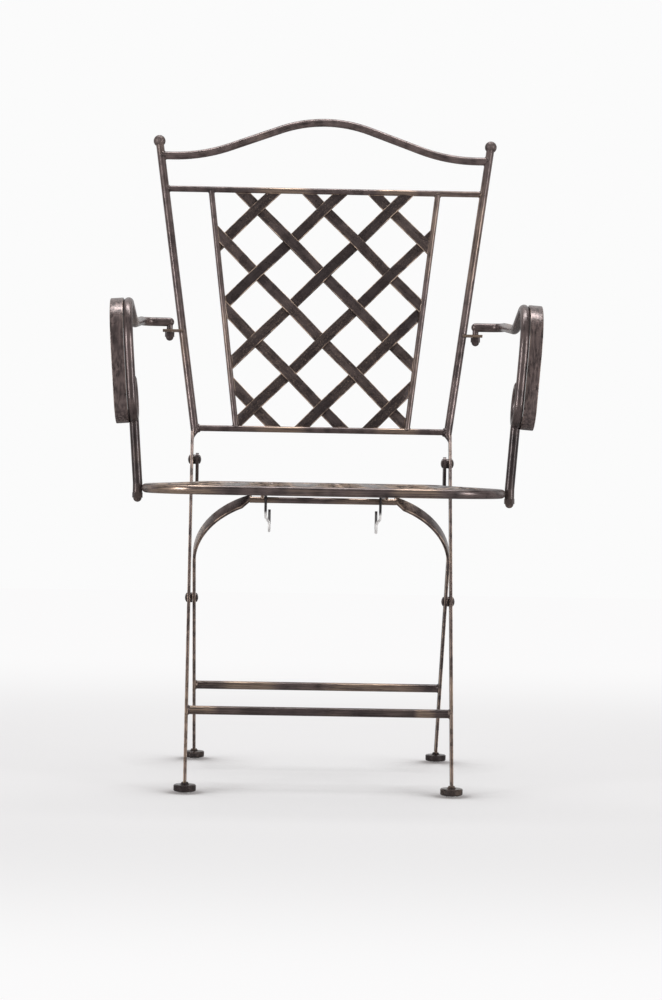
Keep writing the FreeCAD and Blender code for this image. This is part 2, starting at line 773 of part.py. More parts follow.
def bolt(name, inner_x, outer_x, centre, sign):
    """Bolt along X between two faces; the heads lie outside them."""
    shank = size("bolt_dia") / 2
    head = size("bolt_head_dia") / 2
    tall = size("bolt_head_height")
    edge = size("bolt_edge")
    rise = tall - edge
    dome = (head ** 2 + rise ** 2) / (2 * rise)
    slope = math.asin(head / dome) / 2
    shoulder = Vector(dome * math.sin(slope), edge + rise - dome * (1 - math.cos(slope)), 0)
    length = outer_x - inner_x

    def at(radius, height):
        return Vector(radius, height, 0)

    profile = [("arc", at(0, -tall), at(shoulder.x, -shoulder.y), at(head, -edge))]
    corners = [(head, -edge), (head, 0), (shank, 0), (shank, length), (head, length), (head, length + edge)]
    profile += [("line", at(*a), at(*b)) for a, b in zip(corners, corners[1:])]
    profile.append(("arc", at(*corners[-1]), at(shoulder.x, length + shoulder.y), at(0, length + tall)))
    profile.append(("line", at(0, length + tall), at(0, -tall)))
    where = Placement(Vector(sign * inner_x, centre.y, centre.z), Rotation(UP, ACROSS * sign))
    return node(turned(name, profile, where), name)


def ring(name, inner_x, outer_x, centre, sign):
    """Washer or spacer along X around a bolt."""
    bore = size("bolt_dia") / 2 + size("running_fit")
    outside = size("washer_dia") / 2
    length = outer_x - inner_x
    profile = [(bore, 0), (outside, 0), (outside, length), (bore, length)]
    where = Placement(Vector(sign * inner_x, centre.y, centre.z), Rotation(UP, ACROSS * sign))
    return turned(name, polygon(profile), where)


play = size("side_play")
toe_play = size("washer_dia") * tangent("leg_toe_in")
rear_play = play + size("washer_dia") * tangent("rear_splay")
washers, spacers = [], []
for name, sign in SIDES.items():
    inner = REAR_X - LEG / 2
    leg_face = PIVOT.x - LEG / 2 - toe_play
    bolt(f"leg_pivot_bolt_{name}", inner - rear_play, PIVOT.x + LEG / 2 + toe_play, PIVOT, sign)
    washers.append(ring(f"leg_washer_{name}", inner + LEG + rear_play, leg_face, PIVOT, sign))
    lug_outer = LUG_X + size("lug_thick")
    leg_face = HINGE.x - LEG / 2 - toe_play
    bolt(f"seat_hinge_bolt_{name}", LUG_X - play, HINGE.x + LEG / 2 + toe_play, HINGE, sign)
    spacers.append(ring(f"hinge_spacer_{name}", lug_outer + play, leg_face, HINGE, sign))
group("leg_washers", washers)
group("hinge_spacers", spacers)

# Hooks: bent wire on the runners, down in front of the crossbar with a kink, and up behind it

hook_r = size("hook_dia") / 2
kink = size("hook_kink")
kink_fall = 2 * size("hook_turn") * sine("hook_kink") + size("hook_kink_run") * cosine("hook_kink")
hook_start_z = RUNNER_BOTTOM + size("hook_weld")
hook_bottom_z = CROSSBAR_Z - size("hook_drop") + size("hook_turn")
for name, sign in SIDES.items():
    start_x = sign * (size("runner_x") - size("runner_thick") / 2 - hook_r)
    start_y = CROSSBAR.y - size("crossbar_dia") / 2 - hook_r - size("hook_front_gap")
    inward = ACROSS * -sign
    wire_route = Route(Vector(start_x, start_y, hook_start_z), UP * -1)
    wire_route.run(hook_start_z - hook_bottom_z - kink_fall - size("hook_tail"))
    wire_route.bend(size("hook_turn"), kink, inward)
    wire_route.run(size("hook_kink_run"))
    upright = Vector(inward).multiply(-cosine("hook_kink")) - UP * sine("hook_kink")
    wire_route.bend(size("hook_turn"), kink, upright)
    wire_route.run(size("hook_tail"))
    wire_route.bend(size("hook_turn"), 180, BACK)
    wire_route.run(size("hook_drop") - size("hook_turn") - size("hook_tip_drop"))
    node(bent_bar(f"hook_{name}", wire_route, "hook_dia"), f"hook_{name}")

# Arm lugs: flat plates on the uprights with a slot, open to the rear, for the arm's pin

slot = size("pin_dia") / 2 + size("slot_play")
for name, sign in SIDES.items():
    outer = ARM_PIVOT_X + size("arm_lug_reach")
    inner = upright_half(PIVOT_UP)
    front = ARM_PIVOT_Y - size("arm_lug_front")
    rear = ARM_PIVOT_Y + size("arm_lug_rear")
    pin_x = ARM_PIVOT_X
    plate = [("line", Vector(inner, front, 0), Vector(outer, front, 0))]
    plate.append(("line", Vector(outer, front, 0), Vector(outer, rear, 0)))
    plate.append(("line", Vector(outer, rear, 0), Vector(pin_x + slot, rear, 0)))
    plate.append(("line", Vector(pin_x + slot, rear, 0), Vector(pin_x + slot, ARM_PIVOT_Y, 0)))
    nose = Vector(pin_x, ARM_PIVOT_Y - slot, 0)
    plate.append(("arc", Vector(pin_x + slot, ARM_PIVOT_Y, 0), nose, Vector(pin_x - slot, ARM_PIVOT_Y, 0)))
    plate.append(("line", Vector(pin_x - slot, ARM_PIVOT_Y, 0), Vector(pin_x - slot, rear, 0)))
    plate.append(("line", Vector(pin_x - slot, rear, 0), Vector(inner, rear, 0)))
    plate.append(("line", Vector(inner, rear, 0), Vector(inner, front, 0)))
    if sign < 0:
        plate = [(piece[0], *[Vector(-p.x, p.y, 0) for p in piece[1:]]) for piece in plate]
    body = padded(f"arm_lug_stock_{name}", "XY_Plane", [plate], "arm_lug_thick")
    body.Placement.Base = Vector(0, 0, size("arm_lug_z"))
    node(coped(f"arm_lug_{name}", body, [uprights[name]]), f"arm_lug_{name}")

# Arm sleeves: short tubes on the rim's widest points

sleeve_y = front_y + corner
sleeve_top = size("rim_z") + size("sleeve_height") / 2
for name, sign in SIDES.items():
    bore = size("stud_dia") / 2 + size("running_fit")
    outside = size("sleeve_dia") / 2
    high = size("sleeve_height")
    profile = [(bore, 0), (outside, 0), (outside, high), (bore, high)]
    where = Placement(Vector(sign * SUPPORT_X, sleeve_y, sleeve_top - high), Rotation())
    stock = turned(f"arm_sleeve_stock_{name}", polygon(profile), where)
    node(coped(f"arm_sleeve_{name}", stock, [seat_rim]), f"arm_sleeve_{name}")

# Arm rods: from the rear pin out and forward with a dip, over the crest, down the front and round in
# a curl. A post stands under the curl in the sleeve. All lie in a plane that leans outwards.

lean = math.radians(size("arm_lean"))
dip = math.radians(size("arm_dip_angle"))
climb = math.radians(size("arm_rise_angle"))
half_curl = math.radians(size("curl_angle") / 2)
sweep_r = size("arm_sweep_radius")
crest_r = size("arm_crest_radius")
loop_r = size("loop_radius")
side_bend = size("arm_side_bend")
arm_front_y = sleeve_y - loop_r


def arm_rise(height):
    """Distance up the arm's leaning plane, from the sleeve's top to a height."""
    return (height - sleeve_top) / math.cos(lean)


pivot_rise = arm_rise(size("arm_pivot_z"))
crest_rise = arm_rise(size("arm_crest_z"))
loop_rise = arm_rise(size("loop_z"))
rear_forward = side_bend + size("arm_rear_step")
rear_out = SUPPORT_X + pivot_rise * math.sin(lean) - ARM_PIVOT_X - side_bend
rear_run = math.sqrt(rear_out ** 2 + rear_forward ** 2 - side_bend ** 2)
rear_turned = math.atan2(rear_forward, rear_out) - math.atan2(side_bend, rear_run)
reach = ARM_PIVOT_Y - rear_forward - arm_front_y
reach -= sweep_r * (2 * math.sin(dip) + math.sin(climb)) + crest_r * (1 + math.sin(climb))
gain = crest_rise - pivot_rise + sweep_r * (1 - math.cos(dip))
gain -= sweep_r * (math.cos(dip) - math.cos(climb)) + crest_r * (1 - math.cos(climb))
climb_run = (gain + reach * math.tan(dip)) / (math.sin(climb) + math.cos(climb) * math.tan(dip))
dip_run = (reach - climb_run * math.cos(climb)) / math.cos(dip)
for name, sign in SIDES.items():
    out = ACROSS * sign
    arm_up = out * math.sin(lean) + UP * math.cos(lean)
    pin_top = Vector(sign * ARM_PIVOT_X, ARM_PIVOT_Y, size("arm_pivot_z"))
    rod = Route(pin_top, out * math.cos(rear_turned) + FORWARD * math.sin(rear_turned))
    rod.run(rear_run)
    inward = FORWARD * math.cos(rear_turned) - out * math.sin(rear_turned)
    rod.bend(side_bend, 90 - math.degrees(rear_turned), inward)
    rod.bend(sweep_r, size("arm_dip_angle"), arm_up * -1)
    rod.run(dip_run)
    upward = FORWARD * math.sin(dip) + arm_up * math.cos(dip)
    rod.bend(sweep_r, size("arm_dip_angle") + size("arm_rise_angle"), upward)
    rod.run(climb_run)
    downward = FORWARD * math.sin(climb) - arm_up * math.cos(climb)
    rod.bend(crest_r, 90 + size("arm_rise_angle"), downward)
    rod.run(crest_rise - crest_r - loop_rise)
    rod.bend(loop_r, size("curl_angle") / 2, BACK)
    rod.bend(loop_r, size("curl_angle") / 2, BACK * math.cos(half_curl) + arm_up * math.sin(half_curl))
    bar = bent_bar(f"arm_bar_{name}", rod, "rod_dia")
    knob = ball(f"arm_bar_end_{name}", pin_top, "rod_dia")
    nut_top = size("arm_lug_z") - play
    pin_end = Vector(pin_top.x, pin_top.y, nut_top - size("nut_height"))
    pin = round_bar(f"arm_pin_{name}", pin_end, pin_top, "pin_dia")
    post_foot = Vector(sign * SUPPORT_X, sleeve_y, sleeve_top)
    post_top = post_foot + arm_up * (loop_rise - loop_r)
    stock = round_bar(f"arm_post_stock_{name}", post_foot - arm_up * size("rod_dia"), post_top, "rod_dia")
    edge = 4 * size("rod_dia")
    below = cutting_cube(f"arm_post_floor_{name}", edge, Placement(post_foot - UP * edge, Rotation()))
    post = coped(f"arm_post_{name}", stock, [below])
    stud_end = post_foot - UP * (size("sleeve_height") + size("nut_height"))
    stud = round_bar(f"arm_stud_{name}", stud_end, post_foot + UP * ROD, "stud_dia")
    node(fused(f"arm_rod_{name}", [bar, knob, pin, post, stud]), f"arm_rod_{name}")

# Arm bands: flat C-scrolls beside the rods, level with the rods' outer faces

band_t = size("band_thick")
band_crest = crest_r + ROD - band_t / 2
band_curl = loop_r + ROD - band_t / 2
back_angle = math.radians(size("band_back_angle"))
for name, sign in SIDES.items():
    start = Vector(arm_front_y + crest_r, crest_rise - crest_r, 0)
    start += Vector(math.sin(back_angle), math.cos(back_angle), 0) * band_crest
    heading = Vector(-math.cos(back_angle), math.sin(back_angle), 0)
    steps = [("bend", band_crest, 90 + size("band_back_angle"))]
    steps.append(("run", crest_rise - crest_r - loop_rise))
    steps.append(("bend", band_curl, size("band_curl_angle")))
    outline = ribbon(start, heading, band_t, steps)
    body = padded(f"arm_band_{name}", "YZ_Plane", [outline], "band_width")
    turn = Rotation(BACK, sign * size("arm_lean"))
    inner = ROD if sign > 0 else -ROD - size("band_width")
    plane_foot = Vector(sign * SUPPORT_X, 0, sleeve_top)
    body.Placement = Placement(plane_foot + turn.multVec(ACROSS * inner), turn)
    node(body, f"arm_band_{name}")

# Cap nuts: a hexagon with a round dome, under the arm lugs and under the sleeves


def cap_nut(name, top, bore):
    hexagon = doc.addObject("Part::Prism", f"{name}_hexagon")
    hexagon.Polygon = 6
    hexagon.setExpression("Circumradius", "Dims.nut_dia / 2")
    hexagon.setExpression("Height", "Dims.nut_height")
    hexagon.Placement.Base = top - UP * size("nut_height")
    dome = ball(f"{name}_dome", top - UP * size("nut_height"), "nut_dome_dia")
    whole = fused(f"{name}_whole", [hexagon, dome])
    thread = round_bar(f"{name}_bore", top - UP * size("nut_height"), top + UP * size("nut_height"), bore)
    return coped(name, whole, [thread])


rear_nuts, front_nuts = [], []
for name, sign in SIDES.items():
    top = Vector(sign * ARM_PIVOT_X, ARM_PIVOT_Y, size("arm_lug_z") - play)
    rear_nuts.append(cap_nut(f"rear_cap_nut_{name}", top, "pin_dia"))
    top = Vector(sign * SUPPORT_X, sleeve_y, sleeve_top - size("sleeve_height"))
    front_nuts.append(cap_nut(f"front_cap_nut_{name}", top, "stud_dia"))
group("rear_cap_nuts", rear_nuts)
group("front_cap_nuts", front_nuts)

# Check every object, then write one file for each piece

doc.recompute()
for item in doc.Objects:
    if "Invalid" in item.State or "Error" in item.State:
        raise RuntimeError(f"{item.Label} failed: {item.State}")
for piece in nodes:
    if piece.Shape.isNull() or not piece.Shape.isValid():
        raise RuntimeError(f"{piece.Label} has no valid shape")
for piece in nodes:
    piece.Shape.exportStep(f"parts/{piece.Label}.step")
print("pieces", len(nodes))
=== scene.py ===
import math
import bmesh
import bpy
from mathutils import Matrix, Vector


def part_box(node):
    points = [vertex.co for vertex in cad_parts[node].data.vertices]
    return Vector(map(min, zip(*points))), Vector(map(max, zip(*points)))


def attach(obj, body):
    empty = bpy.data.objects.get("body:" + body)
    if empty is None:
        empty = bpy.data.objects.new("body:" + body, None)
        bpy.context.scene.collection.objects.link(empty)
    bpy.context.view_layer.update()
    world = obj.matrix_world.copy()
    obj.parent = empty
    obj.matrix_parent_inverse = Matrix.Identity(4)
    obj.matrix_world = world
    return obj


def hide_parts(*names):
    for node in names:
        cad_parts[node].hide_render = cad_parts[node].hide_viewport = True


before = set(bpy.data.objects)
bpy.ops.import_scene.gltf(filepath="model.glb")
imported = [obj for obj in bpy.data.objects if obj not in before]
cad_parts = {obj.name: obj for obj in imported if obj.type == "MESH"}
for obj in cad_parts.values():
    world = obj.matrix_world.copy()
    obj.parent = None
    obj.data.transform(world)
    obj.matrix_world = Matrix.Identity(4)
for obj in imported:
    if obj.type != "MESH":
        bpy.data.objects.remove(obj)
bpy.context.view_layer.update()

# Camera: a long lens a little under four metres in front of the chair, at seat height, tipped
# down by about a degree and turned and rolled by as much, as the photograph was taken.

CAMERA_PLACE = (-0.054, -3.898, 0.477)
CAMERA_LENS = 98.9
CAMERA_FILM = 36.0
CAMERA_SIGHT = 60.0
CAMERA_TIP = -1.155
CAMERA_TURN = -0.99
CAMERA_ROLL = 1.02

camera = bpy.data.objects.new("camera", bpy.data.cameras.new("camera"))
camera.data.lens = CAMERA_LENS
camera.data.sensor_width = CAMERA_FILM
camera.data.clip_end = CAMERA_SIGHT
camera.matrix_world = (
    Matrix.Translation(CAMERA_PLACE)
    @ Matrix.Rotation(math.radians(CAMERA_TURN), 4, "Z")
    @ Matrix.Rotation(math.radians(90 + CAMERA_TIP), 4, "X")
    @ Matrix.Rotation(math.radians(CAMERA_ROLL), 4, "Z")
)
bpy.context.scene.collection.objects.link(camera)
bpy.context.scene.camera = camera
bpy.context.scene.view_settings.view_transform = "Standard"

# Back uprights: straight round iron tubes that lean back and splay, each with a ball welded on top.
# They are painted blackish brown and then brushed with bronze, which stays in streaks along the tube.
# The balls are duller than the tubes.

PAINT_DARK = (0.027, 0.0212, 0.0222)
PAINT_BROWN = (0.172, 0.129, 0.123)
BRONZE_BRUSHED = (0.48, 0.35, 0.265)
METAL_PAINT = 0.5
METAL_BRONZE = 0.8
METAL_WORN = 0.3
GLOSS_SMOOTH = 0.24
GLOSS_DULL = 0.35
STREAKS_ROUND = 3.2
STREAKS_ALONG = 13.0
STREAK_LENGTH = 0.055
STREAK_WIDTH = 0.003
STREAK_DETAIL = 4.0
STREAK_ROUGH = 0.55
PATCHES_PER_M = 8.0
PATCH_DETAIL = 3.0
MOTTLE_PER_M = 60.0
SPECKLE_PER_M = 700.0
FINE_DETAIL = 2.0
SPECKLE_RELIEF = 0.0002
SPECKLE_SHARE = 0.12
FLECK_SHARE = 0.4
RUB_CORE = 0.35
RUB_LEAST = 0.1
WORN_LEAST = 0.25
MOTTLE_LEAST = 0.1
LEFT_DARK = 0.7
WHOLE = (0, 1)
PATCH_STEP = (0.48, 0.68)
STREAK_STEP = (0.36, 0.66)
RUB_STEP = (0.40, 0.62)
WEAR_STEP = (0.36, 0.62)
FLECK_STEP = (0.56, 0.70)
FLECK_PATCH_STEP = (0.40, 0.60)
MOTTLE_STEP = (0.25, 0.75)
GLOSS_STEP = (0.3, 0.7)


def add_node(tree, kind, **values):
    """Adds a shader node; values are its settings or, by name, its input sockets."""
    made = tree.nodes.new(kind)
    for key, value in values.items():
        if key in made.bl_rna.properties:
            setattr(made, key, value)
            continue
        socket = made.inputs[key.replace("_", " ")]
        if isinstance(value, bpy.types.NodeSocket):
            tree.links.new(value, socket)
        else:
            socket.default_value = value
    return made


def ramp(tree, value, step, span=WHOLE):
    """Soft step across the span while the value crosses the step's two ends."""
    made = add_node(tree, "ShaderNodeMapRange", interpolation_type="SMOOTHSTEP", Value=value)
    for name, number in zip(("From Min", "From Max", "To Min", "To Max"), (*step, *span)):
        made.inputs[name].default_value = number
    return made.outputs["Result"]


def reckon(tree, operation, first, second=0.0):
    """Sum, product or other reckoning of two values, which may be sockets or numbers."""
    result = add_node(tree, "ShaderNodeMath", operation=operation)
    for socket, value in zip(result.inputs, (first, second)):
        if isinstance(value, bpy.types.NodeSocket):
            tree.links.new(value, socket)
        else:
            socket.default_value = value
    return result.outputs[0]


def blended(tree, factor, first, second):
    """Colour that goes from the first to the second with the factor."""
    mix = add_node(tree, "ShaderNodeMix", data_type="RGBA")
    tree.links.new(factor, mix.inputs[0])
    for socket, value in zip((mix.inputs[6], mix.inputs[7]), (first, second)):
        if isinstance(value, bpy.types.NodeSocket):
            tree.links.new(value, socket)
        else:
            socket.default_value = (*value, 1)
    return mix.outputs[2]


def noise(tree, place, scale, detail):
    """Smooth noise at a place, with so many swells to the unit."""
    made = add_node(tree, "ShaderNodeTexNoise", Vector=place, Scale=scale, Detail=detail)
    return made.outputs[0]


def new_finish(name):
    """New material, with its node tree and its shader."""
    finish = bpy.data.materials.new(name)
    finish.use_nodes = True
    return finish, finish.node_tree, finish.node_tree.nodes["Principled BSDF"]


def streaks_round(tree, place, grain):
    """Brush marks along a round bar: fine around it, long along its grain."""
    along = add_node(tree, "ShaderNodeVectorMath", operation="DOT_PRODUCT")
    tree.links.new(place.outputs["Object"], along.inputs[0])
    along.inputs[1].default_value = Vector(grain).normalized()
    around = add_node(tree, "ShaderNodeVectorMath", operation="SCALE", Vector=place.outputs["Normal"])
    around.inputs["Scale"].default_value = STREAKS_ROUND
    run = reckon(tree, "MULTIPLY", along.outputs["Value"], STREAKS_ALONG)
    marks = add_node(tree, "ShaderNodeTexNoise", noise_dimensions="4D", Vector=around.outputs[0], W=run,
                     Scale=1.0, Detail=STREAK_DETAIL, Roughness=STREAK_ROUGH)
    return marks.outputs[0]


def streaks_flat(tree, place, grain):
    """Brush marks along a flat bar, drawn out along its grain."""
    turn = Vector(grain).normalized().to_track_quat("X", "Z").to_euler()
    drawn = add_node(tree, "ShaderNodeMapping", vector_type="TEXTURE", Vector=place.outputs["Object"])
    drawn.inputs["Rotation"].default_value = turn
    drawn.inputs["Scale"].default_value = (STREAK_LENGTH, STREAK_WIDTH, STREAK_WIDTH)
    return noise(tree, drawn.outputs[0], 1.0, STREAK_DETAIL)


def share_near(tree, place, spots):
    """Share that is 1 at the spots and fades out; a spot is an axis, a place along it and a reach."""
    split = add_node(tree, "ShaderNodeSeparateXYZ", Vector=place.outputs["Object"])
    share = 0.0
    for axis, centre, reach in spots:
        away = reckon(tree, "ABSOLUTE", reckon(tree, "SUBTRACT", split.outputs[axis], centre))
        share = reckon(tree, "MAXIMUM", share, ramp(tree, away, (RUB_CORE * reach, reach), (1, 0)))
    return share


def brushed_bronze(name, grain, gold=1.0, brown=1.0, flat=False, worn=1.0, rubs=(), darks=(),
                   streaked=0.4, mottled=0.7, dull=0.0):
    """Dark paint brushed with bronze along the grain; flat stock also shows worn edges.

    Gold, brown and worn are the shares of bronze, of brown in the paint and of bare edges, and dull
    takes gloss away. Rubs are spots where bronze shows, and darks those where the paint stays dark.
    """
    finish, tree, shader = new_finish(name)
    place = add_node(tree, "ShaderNodeTexCoord")
    marks = streaks_flat(tree, place, grain) if flat else streaks_round(tree, place, grain)
    patches = noise(tree, place.outputs["Object"], PATCHES_PER_M, PATCH_DETAIL)
    mottle = noise(tree, place.outputs["Object"], MOTTLE_PER_M, FINE_DETAIL)
    speckle = noise(tree, place.outputs["Object"], SPECKLE_PER_M, FINE_DETAIL)

    brushed = ramp(tree, patches, PATCH_STEP, (0, gold))
    brushed = reckon(tree, "MULTIPLY", brushed, ramp(tree, marks, STREAK_STEP))
    rubbed = ramp(tree, marks, RUB_STEP, (RUB_LEAST, 1))
    rubbed = reckon(tree, "MULTIPLY", share_near(tree, place, rubs), rubbed)
    bronze = reckon(tree, "MAXIMUM", brushed, rubbed)
    metal = ramp(tree, bronze, WHOLE, (METAL_PAINT, METAL_BRONZE))
    if flat:
        edge = add_node(tree, "ShaderNodeAttribute", attribute_name="worn_edge")
        wear = ramp(tree, mottle, WEAR_STEP, (WORN_LEAST * worn, worn))
        wear = reckon(tree, "MULTIPLY", edge.outputs["Fac"], wear)
        flecks = ramp(tree, speckle, FLECK_STEP, (0, FLECK_SHARE))
        flecks = reckon(tree, "MULTIPLY", flecks, ramp(tree, patches, FLECK_PATCH_STEP))
        bronze = reckon(tree, "MAXIMUM", reckon(tree, "MAXIMUM", bronze, flecks), wear)
        metal = reckon(tree, "MULTIPLY", metal, ramp(tree, wear, WHOLE, (1, METAL_WORN)))

    in_mottles = ramp(tree, mottle, MOTTLE_STEP, (MOTTLE_LEAST, mottled * brown))
    in_streaks = ramp(tree, marks, STREAK_STEP, (0, streaked * brown))
    paint = blended(tree, in_mottles, PAINT_DARK, PAINT_BROWN)
    paint = blended(tree, in_streaks, paint, PAINT_BROWN)
    if darks:
        unbrushed = reckon(tree, "MULTIPLY", share_near(tree, place, darks), LEFT_DARK)
        paint = blended(tree, unbrushed, paint, PAINT_DARK)
    gloss = ramp(tree, mottle if flat else marks, GLOSS_STEP, (GLOSS_SMOOTH + dull, GLOSS_DULL + dull))
    relief = add_node(tree, "ShaderNodeBump", Strength=SPECKLE_SHARE, Distance=SPECKLE_RELIEF,
                      Height=speckle)
    tree.links.new(blended(tree, bronze, paint, BRONZE_BRUSHED), shader.inputs["Base Color"])
    tree.links.new(gloss, shader.inputs["Roughness"])
    tree.links.new(metal, shader.inputs["Metallic"])
    tree.links.new(relief.outputs["Normal"], shader.inputs["Normal"])
    return finish


def dress(finish, *names):
    """Gives the finish to carried-over pieces."""
    for name in names:
        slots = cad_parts[name].data.materials
        slots.clear()
        slots.append(finish)


BACK_LEAN = math.radians(15)
BACK_WAY = Vector((0, math.sin(BACK_LEAN), math.cos(BACK_LEAN)))
FINIAL_DULL = 0.2
upright_finish = brushed_bronze("upright_bronze", BACK_WAY, gold=0.6, brown=1.5)
dress(upright_finish, "back_upright_left", "back_upright_right")
finial_finish = brushed_bronze("finial_bronze", BACK_WAY, gold=0.1, brown=1.2, flat=True, dull=FINIAL_DULL)
dress(finial_finish, "finial_left", "finial_right")

# Top arch, two rails and two panel bars: round iron bar between the uprights, butt-welded.
# The arch is one bent bar with a raised middle; the panel bars lean with the uprights.

ACROSS = (1, 0, 0)
RAIL_RUBS = (("X", -0.064, 0.05), ("X", 0.11, 0.04))
arch_finish = brushed_bronze("arch_bronze", ACROSS, gold=0.5, brown=1.65)
rail_finish = brushed_bronze("back_rail_bronze", ACROSS, gold=0.4, brown=1.1, rubs=RAIL_RUBS)
dress(arch_finish, "top_arch")
dress(rail_finish, "upper_back_rail", "lower_back_rail")
dress(upright_finish, "panel_bar_left", "panel_bar_right")

# Back lattice: flat iron strips woven over and under, welded to the rails and panel bars.
# Nearly black on the faces, worn bright along the edges.

LATTICE_EASE = 0.0009
EASE_LEAST = 0.002
EASE_STEPS = 2
EASE_ROUND = 0.5
SMOOTH_ANGLE = math.radians(30)
SHARP_ANGLE = math.radians(40)
FLAT_ANGLE = math.radians(1)
SAME_POINT = 0.00001
STRIP_SLANT = math.radians(44)
STRIP_GOLD = 0.06
STRIP_BROWN = {"rising": 0.26, "falling": 0.62}
STRIP_SIDE = {"rising": 1, "falling": -1}


def eased(name, body, finish, radius):
    """Copy of a carried-over flat piece with its sharp edges eased and marked as worn."""
    shell = bmesh.new()
    shell.from_mesh(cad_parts[name].data)
    bmesh.ops.remove_doubles(shell, verts=shell.verts, dist=SAME_POINT)
    bmesh.ops.dissolve_limit(shell, angle_limit=FLAT_ANGLE, verts=shell.verts, edges=shell.edges)
    worn = shell.faces.layers.float.new("worn_edge")
    sharp = []
    for edge in shell.edges:
        if len(edge.link_faces) == 2 and edge.calc_length() > EASE_LEAST:
            if edge.calc_face_angle() > SHARP_ANGLE:
                sharp.append(edge)
    made = bmesh.ops.bevel(shell, geom=sharp, offset=radius, segments=EASE_STEPS, profile=EASE_ROUND,
                           affect="EDGES", clamp_overlap=False)
    for face in made["faces"]:
        face[worn] = 1.0
    mesh = bpy.data.meshes.new(f"{name}_eased")
    shell.to_mesh(mesh)
    shell.free()
    mesh.shade_smooth()
    mesh.set_sharp_from_angle(angle=SMOOTH_ANGLE)
    mesh.materials.append(finish)
    piece = bpy.data.objects.new(f"{name}_eased", mesh)
    bpy.context.scene.collection.objects.link(piece)
    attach(piece, body)
    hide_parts(name)


def strip_finish(name, way, run):
    """Finish of the strips of a weave that go one way."""
    return brushed_bronze(name, run, gold=STRIP_GOLD, brown=STRIP_BROWN[way], flat=True)


for way, sign in STRIP_SIDE.items():
    run = Vector((sign * math.sin(STRIP_SLANT), 0, 0)) + BACK_WAY * math.cos(STRIP_SLANT)
    eased(f"back_lattice_{way}", "back_frame", strip_finish(f"back_{way}_strip", way, run), LATTICE_EASE)

# Front legs: flat iron bar on edge from the uprights' feet down to the front pads, drilled for the
# pivot and hinge bolts. The edges towards the front have lost most of their dark paint.

LEG_EASE = 0.0008
LEG_SLOPE = math.radians(34)
LEG_WAY = Vector((0, math.sin(LEG_SLOPE), math.cos(LEG_SLOPE)))
LEG_RUBS = {
    "left": (("Z", 0.09, 0.14),),
    "right": (("Z", 0.135, 0.04),),
}
for side, rubs in LEG_RUBS.items():
    leg_finish = brushed_bronze(f"front_leg_{side}_bronze", LEG_WAY, gold=0.9, brown=1.6, flat=True,
                                worn=0.9, rubs=rubs)
    eased(f"front_leg_{side}", "back_frame", leg_finish, LEG_EASE)

# Front stretcher: a round iron bar across the front, its ends butted against the inner faces of the
# front legs and welded. Shoes have rubbed it down to the bronze in two places.

FRONT_RUBS = (("X", -0.172, 0.04), ("X", 0.147, 0.018))
front_finish = brushed_bronze("front_stretcher_bronze", ACROSS, gold=0.25, brown=0.5, rubs=FRONT_RUBS)
dress(front_finish, "front_stretcher")

# Feet: four turned iron pads with a short cone that holds the leg's end, painted dark and scuffed.
# Each stands on a thin glide of pale nylon.

GLIDE_GREY = (0.52, 0.50, 0.49)
GLIDE_PALE = (0.72, 0.70, 0.69)
GLIDE_SCUFFS_PER_M = 400.0
GLIDE_DETAIL = 4.0
GLIDE_ROUGH = 0.6


def pale_nylon():
    """Scuffed pale nylon of the glides."""
    finish, tree, shader = new_finish("nylon_glide")
    place = add_node(tree, "ShaderNodeTexCoord")
    scuffs = noise(tree, place.outputs["Object"], GLIDE_SCUFFS_PER_M, GLIDE_DETAIL)
    tree.links.new(blended(tree, scuffs, GLIDE_GREY, GLIDE_PALE), shader.inputs["Base Color"])
    shader.inputs["Roughness"].default_value = GLIDE_ROUGH
    return finish


foot_finish = brushed_bronze("foot_bronze", ACROSS, gold=0.5, brown=0.1, flat=True)
dress(foot_finish, "foot_front_left", "foot_front_right", "foot_rear_left", "foot_rear_right")
dress(pale_nylon(), "front_glides", "rear_glides")

# Rear legs: flat iron bar on edge, bent inwards at the top in an arch, that turns on the pivot bolts.
# Two round bars are welded between them: the crossbar under the seat and the rear stretcher.

REAR_SLOPE = math.radians(45.5)
REAR_WAY = (0, -math.sin(REAR_SLOPE), math.cos(REAR_SLOPE))
REAR_RUBS = (("X", -0.10, 0.05), ("X", 0.08, 0.09))
rear_leg_finish = brushed_bronze("rear_leg_bronze", REAR_WAY, brown=0.85, flat=True)
for side in ("left", "right"):
    eased(f"rear_leg_{side}", "rear_legs", rear_leg_finish, LEG_EASE)
rear_bar_finish = brushed_bronze("rear_stretcher_bronze", ACROSS, gold=0.4, brown=0.95, rubs=REAR_RUBS)
dress(rear_bar_finish, "rear_stretcher", "crossbar")

# Seat: a closed rim of round iron tube, with flat strips woven across it and welded to it.
# Two runners of flat bar under the weave lie on the crossbar.

RIM_GRAIN = (0.7, 1, 0)
RUNNER_GRAIN = (0, 1, 0)
RIM_RUBS = (("X", -0.19, 0.06), ("X", 0.12, 0.04))
rim_finish = brushed_bronze("rim_bronze", RIM_GRAIN, gold=0.4, rubs=RIM_RUBS)
dress(rim_finish, "seat_rim")
for way, sign in STRIP_SIDE.items():
    run = (sign, 1, 0)
    eased(f"seat_lattice_{way}", "seat", strip_finish(f"seat_{way}_strip", way, run), LATTICE_EASE)
runner_finish = brushed_bronze("runner_bronze", RUNNER_GRAIN, gold=0.5, brown=0.8, flat=True)
for side in ("left", "right"):
    eased(f"seat_runner_{side}", "seat", runner_finish, LEG_EASE)
